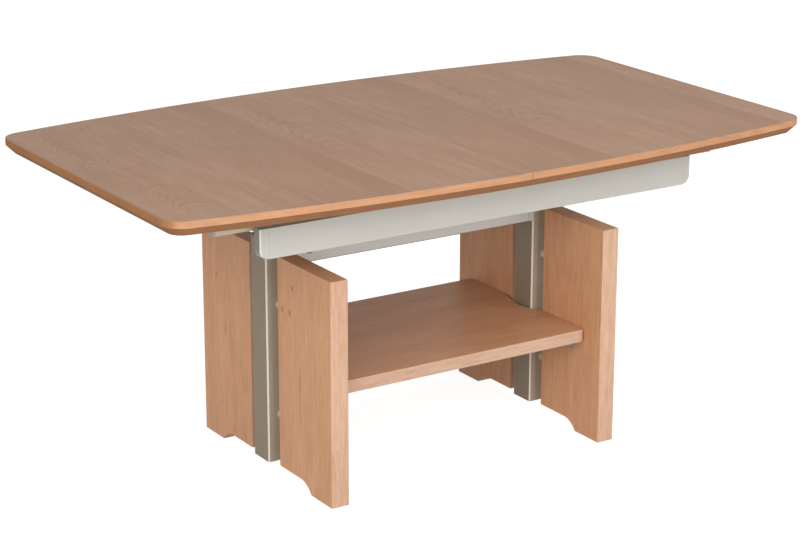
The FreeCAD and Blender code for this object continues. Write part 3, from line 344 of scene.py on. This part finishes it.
def wood(name, along, across, through, base, contrast, leaf=None, stave=None, edge=None, under=None,
         rough=WOOD_ROUGH, shine=WOOD_SHINE, pores=WOOD_PORES, marks=(), flames=()):
    """Lacquered wood with its grain along one axis.

    across and through are the other two axes. leaf (width, start) repeats the figure in matched veneer
    leaves, stave (width, start, change) splits the board into glued staves, edge (axis, colour) gives the
    faces across that axis another colour, a painted sheen on a board's edges or painted shade on the
    lipping's ends, and under is painted shade on the faces that point down. rough is the roughness, shine
    the specular level and pores the darkness of the pores. marks are (place, radius, length, depth) of
    knots and dark streaks, and flames are (across, along, half width, half length) of nested arcs in the
    figure.
    """
    graph = Graph(name)
    place = graph.places()
    facing = graph.places("Normal")
    u, v, w = place[across], place[along], place[through]
    shift = 0.5
    if stave:
        width, start, change = stave
        strip = graph.math("FLOOR", graph.math("DIVIDE", graph.math("ADD", u, start), width))
        chance = graph.math("SUBTRACT", graph.random(graph.math("ADD", strip, STAVE_SEED)), 0.5)
        v = graph.math("MULTIPLY_ADD", chance, STAVE_JUMP, v)
        shift = graph.total(shift, (chance, change))
    if leaf:
        width, start = leaf
        turn = graph.math("FRACT", graph.math("DIVIDE", graph.math("ADD", u, start), width))
        u = graph.math("MULTIPLY", turn, width)
        shift = graph.total(shift, (graph.span(turn, *LEAF_DARK_SPAN), LEAF_DARK_SIDE),
                            (graph.span(turn, *LEAF_MIDDLE_SPAN), LEAF_MIDDLE))
    bend = graph.stretched((u, v, w), BEND_SCALE, *BEND_NOISE)
    u = graph.math("MULTIPLY_ADD", bend, BEND_REACH, u)
    streak = graph.stretched((u, v, w), STREAK_SCALE, *STREAK_NOISE)
    line = graph.stretched((u, v, w), LINE_SCALE, *LINE_NOISE)
    dash = graph.stretched((u, v, w), DASH_SCALE, *DASH_NOISE)
    patch = graph.stretched((u, v, w), PATCH_SCALE, *PATCH_NOISE)
    value = graph.total(shift, (streak, STREAK_WEIGHT), (line, LINE_WEIGHT), (patch, PATCH_WEIGHT))
    for flame in flames:
        arcs = flame_arcs(graph, place[across], place[along], *flame)
        value = graph.total(value, (arcs, FLAME_WEIGHT))
    pale = base
    # Faces across the edge axis: painted sheen on the boards' edges, painted shade on the lipping's ends
    if edge:
        axis, painted_edge_colour = edge
        turned = graph.span(graph.math("ABSOLUTE", facing[axis]), *WOOD_EDGE_SHEEN_AND_SHADE_FACING)
        pale = graph.mix(turned, base, painted_edge_colour)
    tone = graph.span(value, 0.0, 1.0, 1 - contrast, 1 + contrast)
    tones = [graph.math("POWER", tone, power) for power in TONE_POWERS]
    colour = graph.mix(1.0, pale, graph.vector(*tones), "MULTIPLY")
    colour = graph.mix(graph.span(dash, *PORE_SPAN, 0.0, pores), colour, PORE_WOOD)
    for mark in marks:
        colour = marked(graph, colour, place, along, *mark)
    # Painted shade on the faces that point down
    if under:
        down = graph.span(facing["z"], *WOOD_DOWN_SHADE_FACING, 1.0, 0.0)
        colour = graph.mix(down, colour, graph.mix(1.0, colour, under, "MULTIPLY"))
    height = graph.total(0.0, (line, LINE_RELIEF), (dash, PORE_RELIEF))
    uneven = graph.span(line, *GRAIN_ROUGH_SPAN, rough - GRAIN_SMOOTHER, rough + GRAIN_ROUGHER)
    return graph.surface(Base_Color=colour, Roughness=uneven, Specular_IOR_Level=shine,
                         Normal=graph.bump(height, *GRAIN_BUMP))


def flame_arcs(graph, across, along, middle, centre, half_width, half_length):
    """Nested arcs drawn out along the grain, from -1 to 1 in the middle and 0 outside."""
    side = graph.math("DIVIDE", graph.math("SUBTRACT", across, middle), half_width)
    length = graph.math("DIVIDE", graph.math("SUBTRACT", along, centre), half_length)
    square = graph.math("MULTIPLY", side, side)
    wander = graph.stretched((across, along, 0.0), FLAME_WANDER_SCALE, 2.0)
    arc = graph.total(length, (square, FLAME_ARCH), (wander, FLAME_WANDER))
    rings = graph.math("SINE", graph.math("MULTIPLY", arc, FLAME_RINGS * math.pi))
    far = graph.total(square, (graph.math("MULTIPLY", length, length), 1.0))
    return graph.math("MULTIPLY", rings, graph.span(far, *FLAME_FADE, 1.0, 0.0))


def marked(graph, colour, place, along, spot, radius, length, depth):
    """A knot or a dark streak: a ragged dark spot drawn out along the grain."""
    squares = []
    for axis, value in zip("xyz", spot):
        reach = length if axis == along else radius
        offset = graph.math("DIVIDE", graph.math("SUBTRACT", place[axis], value), reach)
        squares.append((graph.math("MULTIPLY", offset, offset), 1.0))
    far = graph.math("SQRT", graph.total(0.0, *squares))
    ragged = graph.stretched([place[axis] for axis in "xyz"], RAGGED_SCALE, 2.0)
    far = graph.total(far, (ragged, RAGGED_WEIGHT))
    return graph.mix(graph.span(far, *MARK_FADE, depth, 0.0), colour, KNOT_WOOD)


CHEEK_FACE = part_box("left_front_cheek")[0].x
TOP_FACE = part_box("left_top_veneer")[1].z
CHEEK_MARKS = [
    ((CHEEK_FACE, -0.0941, 0.338), 0.0028, 0.0055, 0.75),
    ((CHEEK_FACE, -0.0609, 0.294), 0.0030, 0.0050, 0.65),
    ((CHEEK_FACE, -0.0847, 0.295), 0.0030, 0.0060, 0.65),
    ((CHEEK_FACE, -0.1165, 0.195), 0.0032, 0.026, 0.22),
    ((CHEEK_FACE, -0.1155, 0.140), 0.0034, 0.050, 0.20),
    ((CHEEK_FACE, 0.1624, 0.294), 0.0028, 0.0045, 0.55),
    ((CHEEK_FACE, 0.1354, 0.204), 0.0060, 0.014, 0.20),
    ((CHEEK_FACE, 0.1097, 0.030), 0.0030, 0.0045, 0.40),
]
TOP_MARKS = [
    ((-0.521, 0.061, TOP_FACE), 0.0035, 0.006, 0.50),
    ((-0.405, -0.063, TOP_FACE), 0.0030, 0.006, 0.50),
    ((-0.218, 0.141, TOP_FACE), 0.0030, 0.008, 0.40),
]
TOP_FLAMES = [
    (-0.165, 0.075, 0.050, 0.20),
    (-0.527, -0.190, 0.045, 0.12),
    (-0.545, 0.140, 0.040, 0.13),
    (0.215, 0.060, 0.050, 0.20),
]
VENEER_LEAF = (VENEER_LEAF_WIDTH, VENEER_LEAF_START)
SHELF_STAVE = (SHELF_STAVE_WIDTH, SHELF_STAVE_START, SHELF_STAVE_CHANGE)
cheek_wood = wood("cheek_wood", "z", "y", "x", CHEEK_WOOD, CHEEK_CONTRAST, edge=("y", EDGE_SHEEN_WOOD),
                  marks=CHEEK_MARKS)
shelf_wood = wood("shelf_wood", "x", "y", "z", SHELF_WOOD, SHELF_CONTRAST, stave=SHELF_STAVE,
                  edge=("y", SHELF_EDGE_SHEEN_WOOD), shine=SHELF_SHINE)
top_veneer = wood("top_veneer", "y", "x", "z", VENEER_WOOD, VENEER_CONTRAST, leaf=VENEER_LEAF,
                  rough=VENEER_ROUGH, shine=VENEER_SHINE, pores=VENEER_PORES, marks=TOP_MARKS,
                  flames=TOP_FLAMES)
leaf_veneer = wood("leaf_veneer", "x", "y", "z", VENEER_WOOD, VENEER_CONTRAST, leaf=VENEER_LEAF,
                   rough=VENEER_ROUGH, shine=VENEER_SHINE, pores=VENEER_PORES)
lipping_wood = wood("lipping_wood", "x", "y", "z", LIPPING_WOOD, LIPPING_CONTRAST,
                    edge=("x", LIPPING_END_SHADE_WOOD), under=BEVEL_SHADE, rough=LIPPING_ROUGH,
                    shine=LIPPING_SHINE)
board_back = wood("board_back", "y", "x", "z", VENEER_WOOD, VENEER_CONTRAST, rough=BACK_ROUGH)
dowel_wood = wood("dowel_wood", "x", "y", "z", DOWEL_WOOD, DOWEL_CONTRAST, rough=DOWEL_ROUGH)


# Metal and plastic

def paint(name, colour, rough, grain, metal=0.0, corner=None, end=None, under=None):
    """Sprayed paint with a fine pearl and a faint orange-peel surface.

    grain is the pearl's contrast as a share of the colour. corner is the colour of a painted highlight on
    the upright rounded edges, end that of painted shade on the faces that point along x, and under that of
    painted shade on the faces that point down.
    """
    graph = Graph(name)
    place = list(graph.places().values())
    pearl = graph.stretched(place, PEARL_SCALE, 1.0)
    cloud = graph.stretched(place, CLOUD_SCALE, 2.0)
    peel = graph.stretched(place, PEEL_SCALE, 2.0)
    lighter = tuple(min(1.0, part * (1 + grain)) for part in colour)
    darker = tuple(part * (1 - grain) for part in colour)
    tint = graph.mix(graph.total(0.5, (pearl, PEARL_WEIGHT), (cloud, CLOUD_WEIGHT)), darker, lighter)
    facing = graph.places("Normal")
    # Painted shade on the faces that point along x
    if end:
        along = graph.span(graph.math("ABSOLUTE", facing["x"]), *PAINT_END_SHADE_FACING)
        tint = graph.mix(along, tint, end)
    # Painted highlight on the upright rounded edges
    if corner:
        turned = graph.math("ABSOLUTE", graph.math("MULTIPLY", facing["x"], facing["y"]))
        tint = graph.mix(graph.span(turned, *PAINT_HIGHLIGHT_FACING), tint, corner)
    # Painted shade on the faces that point down
    if under:
        tint = graph.mix(graph.span(facing["z"], *PAINT_DOWN_SHADE_FACING, 1.0, 0.0), tint, under)
    roughness = graph.span(cloud, *CLOUD_SPAN, rough, rough + CLOUD_ROUGHER)
    return graph.surface(Base_Color=tint, Metallic=metal, Roughness=roughness,
                         Specular_IOR_Level=PAINT_SHINE, Normal=graph.bump(peel, *PEEL_BUMP))


def drawn_metal(name, colour, along, rough):
    """Bare metal with fine lines along the way it was drawn."""
    graph = Graph(name)
    place = graph.places()
    stretch = {axis: DRAWN_ALONG if axis == along else DRAWN_ACROSS for axis in "xyz"}
    parts = [graph.math("MULTIPLY", place[axis], stretch[axis]) for axis in "xyz"]
    lines = graph.noise(graph.vector(*parts), 2.0)
    darker = tuple(part * DRAWN_SHADE for part in colour)
    tint = graph.mix(graph.span(lines, *DRAWN_SPAN), darker, colour)
    roughness = graph.span(lines, *DRAWN_SPAN, rough, rough + DRAWN_ROUGHER)
    return graph.surface(Base_Color=tint, Metallic=1.0, Roughness=roughness,
                         Normal=graph.bump(lines, *DRAWN_BUMP))


def plastic(name, colour, rough):
    """Moulded plastic with a fine spark-eroded texture."""
    graph = Graph(name)
    place = graph.places()
    parts = [graph.math("MULTIPLY", place[axis], MOULD_SCALE) for axis in "xyz"]
    texture = graph.noise(graph.vector(*parts), 2.0)
    lighter = tuple(part * MOULD_TINT for part in colour)
    tint = graph.mix(graph.span(texture, *MOULD_TINT_SPAN), colour, lighter)
    roughness = graph.span(texture, *MOULD_SPAN, rough, rough + MOULD_ROUGHER)
    return graph.surface(Base_Color=tint, Roughness=roughness, Normal=graph.bump(texture, *MOULD_BUMP))


column_paint = paint("column_paint", COLUMN_PAINT, rough=0.42, grain=0.05, corner=COLUMN_HIGHLIGHT,
                     end=COLUMN_END_SHADE)
frame_paint = paint("frame_paint", APRON_PAINT, rough=0.42, grain=0.03)
cap_plastic = paint("cap_plastic", APRON_PAINT, rough=0.40, grain=0.03, corner=APRON_HIGHLIGHT, end=APRON_END_SHADE)
beam_paint = paint("beam_paint", BEAM_PAINT, rough=0.42, grain=0.03, under=BEAM_UNDER_SHADE)
standoff_paint = paint("standoff_paint", STANDOFF_PAINT, rough=0.35, grain=0.03)
rail_metal = paint("rail_metal", RUNNER_METAL, rough=0.36, grain=0.05)
bracket_zinc = paint("bracket_zinc", BRACKET_ZINC, rough=0.40, grain=0.1, metal=0.2)
plug_plastic = plastic("plug_plastic", PLUG_PLASTIC, rough=0.45)
seam_shade_plastic = plastic("seam_shade_plastic", SEAM_SHADE_PLASTIC, rough=0.6)
runner_plug_plastic = plastic("runner_plug_plastic", RUNNER_PLUG_PLASTIC, rough=0.45)
slide_bar_paint = paint("slide_bar_paint", SLIDE_BAR_PAINT, rough=0.36, grain=0.05)
lifting_steel = drawn_metal("lifting_steel", LIFTING_STEEL, along="z", rough=0.34)
bright_steel = drawn_metal("bright_steel", BRIGHT_STEEL, along="z", rough=0.30)
gear_steel = drawn_metal("gear_steel", GEAR_STEEL, along="x", rough=0.30)
zinc_screw = drawn_metal("zinc_screw", SCREW_STEEL, along="z", rough=0.30)
black_paint = paint("black_paint", BLACK_PAINT, rough=0.38, grain=0.1)
nylon = plastic("nylon", BLACK_PLASTIC, rough=0.48)
collar_plastic = plastic("collar_plastic", BROWN_PLASTIC, rough=0.48)
glide_plastic = plastic("glide_plastic", BROWN_PLASTIC, rough=0.5)

SLOT_FINISHES = {
    "beech_cheek": cheek_wood,
    "beech_shelf": shelf_wood,
    "top_veneer": top_veneer,
    "top_lipping": lipping_wood,
    "board_core": board_back,
    "dowel_wood": dowel_wood,
    "column_paint": column_paint,
    "frame_paint": frame_paint,
    "cap_plastic": cap_plastic,
    "rail_aluminium": rail_metal,
    "bright_steel": bright_steel,
    "gear_steel": gear_steel,
    "zinc_screw": zinc_screw,
    "black_paint": black_paint,
    "nylon": nylon,
    "glide_plastic": glide_plastic,
}
# Nodes with a finish of their own
NODE_FINISHES = {
    "leaf_veneer": leaf_veneer,
    "cross_beam": beam_paint,
    "beam_end_plates": beam_paint,
    "cheek_standoffs": standoff_paint,
    "shelf_brackets": bracket_zinc,
    "column_collars": collar_plastic,
    "slide_bars": slide_bar_paint,
    "left_lifting_column": lifting_steel,
    "right_lifting_column": lifting_steel,
}
for subpart in frame["record"]["subparts"]:
    node = subpart["node"]
    mesh = nodes[node].data
    mesh.materials.clear()
    mesh.materials.append(NODE_FINISHES.get(node, SLOT_FINISHES[subpart["material_slot"]]))


def mesh_piece(name, points, faces, material):
    """A new object in the scene, from its points and faces."""
    mesh = bpy.data.meshes.new(name)
    mesh.from_pydata(points, [], faces)
    mesh.materials.append(material)
    piece = bpy.data.objects.new(name, mesh)
    scene.collection.objects.link(piece)
    return piece


def add_plug():
    """The plug that blanks the access hole of the cross beam: a dished disc, turned about y."""
    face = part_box("cross_beam")[0].y
    points = []
    for radius, depth in PLUG_PROFILE:
        for step in range(PLUG_STEPS):
            angle = 2 * math.pi * step / PLUG_STEPS
            points.append((PLUG_CENTRE[0] + radius * math.cos(angle), face + depth,
                           PLUG_CENTRE[1] + radius * math.sin(angle)))
    faces = [tuple(range(PLUG_STEPS)), tuple(reversed(range(len(points) - PLUG_STEPS, len(points))))]
    for ring in range(len(PLUG_PROFILE) - 1):
        for step in range(PLUG_STEPS):
            here = ring * PLUG_STEPS + step
            beside = ring * PLUG_STEPS + (step + 1) % PLUG_STEPS
            faces.append((here, here + PLUG_STEPS, beside + PLUG_STEPS, beside))
    plug = mesh_piece("beam_hole_plug", points, faces, plug_plastic)
    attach(plug, "base")


def add_runner_plug(runners, body, outward, side):
    """A plug with a chamfered face in the outer end of one runner; outward and side are -1 or 1."""
    low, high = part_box(runners)
    end = high.x if outward > 0 else low.x
    middle = side * (high.y - RUNNER_WIDTH / 2)
    flat = RUNNER_PLUG_LENGTH - RUNNER_PLUG_CHAMFER
    points = []
    for reach, inset in ((0.0, 0.0), (flat, 0.0), (RUNNER_PLUG_LENGTH, RUNNER_PLUG_CHAMFER)):
        half = RUNNER_WIDTH / 2 - inset
        under, over = low.z + inset, high.z - inset
        for y, z in ((-half, under), (half, under), (half, over), (-half, over)):
            points.append((end + outward * reach, middle + y, z))
    faces = [(3, 2, 1, 0), (8, 9, 10, 11)]
    for start in (0, 4):
        for corner in range(4):
            here, beside = start + corner, start + (corner + 1) % 4
            faces.append((here, beside, beside + 4, here + 4))
    if outward < 0:
        faces = [tuple(reversed(face)) for face in faces]
    name = "%s_plug_%s" % (runners[:-1], "front" if side < 0 else "rear")
    plug = mesh_piece(name, points, faces, runner_plug_plastic)
    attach(plug, body)


def add_seam_shade_band():
    """A thin dark band on the left half's seam edge: painted shade in the seam, which also keeps light from
    passing between the halves.
    """
    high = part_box("left_top_lipping")[1]
    half = high.y - BAND_END_INSET
    x_places = (high.x, high.x + BAND_THICKNESS)
    z_places = (high.z - BAND_TOP_INSET - BAND_HEIGHT, high.z - BAND_TOP_INSET)
    points = [(x, y, z) for x in x_places for y in (-half, half) for z in z_places]
    faces = [(0, 1, 3, 2), (4, 6, 7, 5), (0, 4, 5, 1), (2, 3, 7, 6), (0, 2, 6, 4), (1, 5, 7, 3)]
    band = mesh_piece("seam_shade_band", points, faces, seam_shade_plastic)
    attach(band, "left_top")


add_plug()
add_seam_shade_band()
for plug_side in (-1, 1):
    add_runner_plug("left_runners", "left_top", -1, plug_side)
    add_runner_plug("right_runners", "right_top", 1, plug_side)


# Floor, light and camera

WHITE_RAYS = ("Is Camera Ray", "Is Glossy Ray", "Is Transmission Ray")


def sees_white(tree):
    """1 for the rays that see the ground and the background as white, and 0 for those that light."""
    path = tree.nodes.new("ShaderNodeLightPath")
    seen = path.outputs[WHITE_RAYS[0]]
    for ray in WHITE_RAYS[1:]:
        either = tree.nodes.new("ShaderNodeMath")
        either.operation = "MAXIMUM"
        tree.links.new(seen, either.inputs[0])
        tree.links.new(path.outputs[ray], either.inputs[1])
        seen = either.outputs[0]
    return seen


def floor_material():
    """White with a faint shadow where it is seen, and plain pale grey where it lights the table."""
    graph = Graph("floor")
    plain = graph.nodes.new("ShaderNodeBsdfDiffuse")
    plain.inputs["Color"].default_value = (FLOOR_ALBEDO, FLOOR_ALBEDO, FLOOR_ALBEDO, 1.0)
    shade = graph.nodes.new("ShaderNodeBsdfDiffuse")
    shade.inputs["Color"].default_value = (FLOOR_SHADE_SHARE, FLOOR_SHADE_SHARE, FLOOR_SHADE_SHARE, 1.0)
    glow = graph.nodes.new("ShaderNodeEmission")
    glow.inputs["Strength"].default_value = FLOOR_GLOW
    white = graph.nodes.new("ShaderNodeAddShader")
    graph.links.new(shade.outputs[0], white.inputs[0])
    graph.links.new(glow.outputs[0], white.inputs[1])
    choice = graph.nodes.new("ShaderNodeMixShader")
    graph.links.new(sees_white(graph.material.node_tree), choice.inputs[0])
    graph.links.new(plain.outputs[0], choice.inputs[1])
    graph.links.new(white.outputs[0], choice.inputs[2])
    graph.links.new(choice.outputs[0], graph.output.inputs["Surface"])
    return graph.material


def add_floor():
    """The ground, which belongs to the stage and not to the table."""
    half = FLOOR_SIZE / 2
    corners = [(-half, -half, 0.0), (half, -half, 0.0), (half, half, 0.0), (-half, half, 0.0)]
    floor = mesh_piece("floor", corners, [(0, 1, 2, 3)], floor_material())


def add_world():
    """An even white surround, weaker where it lights the table than where it is seen."""
    world = bpy.data.worlds.new("studio")
    world.use_nodes = True
    tree = world.node_tree
    background = tree.nodes["Background"]
    strength = tree.nodes.new("ShaderNodeMapRange")
    tree.links.new(sees_white(tree), strength.inputs["Value"])
    strength.inputs["To Min"].default_value = WORLD_STRENGTH
    strength.inputs["To Max"].default_value = 1.0
    background.inputs["Color"].default_value = (1.0, 1.0, 1.0, 1.0)
    tree.links.new(strength.outputs[0], background.inputs["Strength"])
    scene.world = world


def add_light(name, azimuth, elevation, power):
    """A square soft light that points at the table."""
    turn, rise = math.radians(azimuth), math.radians(elevation)
    way = Vector((math.sin(turn) * math.cos(rise), -math.cos(turn) * math.cos(rise), math.sin(rise)))
    data = bpy.data.lights.new(name, "AREA")
    data.size = LIGHT_SIZE
    data.energy = power
    light = bpy.data.objects.new(name, data)
    light.location = Vector(LIGHT_TARGET) + way * LIGHT_DISTANCE
    light.rotation_euler = (-way).to_track_quat("-Z", "Y").to_euler()
    scene.collection.objects.link(light)


def add_camera():
    data = bpy.data.cameras.new("camera")
    data.lens = CAMERA_LENS
    data.sensor_width = SENSOR_WIDTH
    camera = bpy.data.objects.new("camera", data)
    turn = Matrix.Rotation(math.radians(CAMERA_AZIMUTH), 4, "Z")
    tilt = Matrix.Rotation(math.radians(90.0 - CAMERA_ELEVATION), 4, "X")
    roll = Matrix.Rotation(math.radians(CAMERA_ROLL), 4, "Z")
    camera.matrix_world = Matrix.Translation(CAMERA_PLACE) @ turn @ tilt @ roll
    scene.collection.objects.link(camera)
    scene.camera = camera


add_floor()
add_world()
for light_name, light_values in LIGHTS.items():
    add_light(light_name, *light_values)
add_camera()
scene.view_settings.view_transform = "Standard"
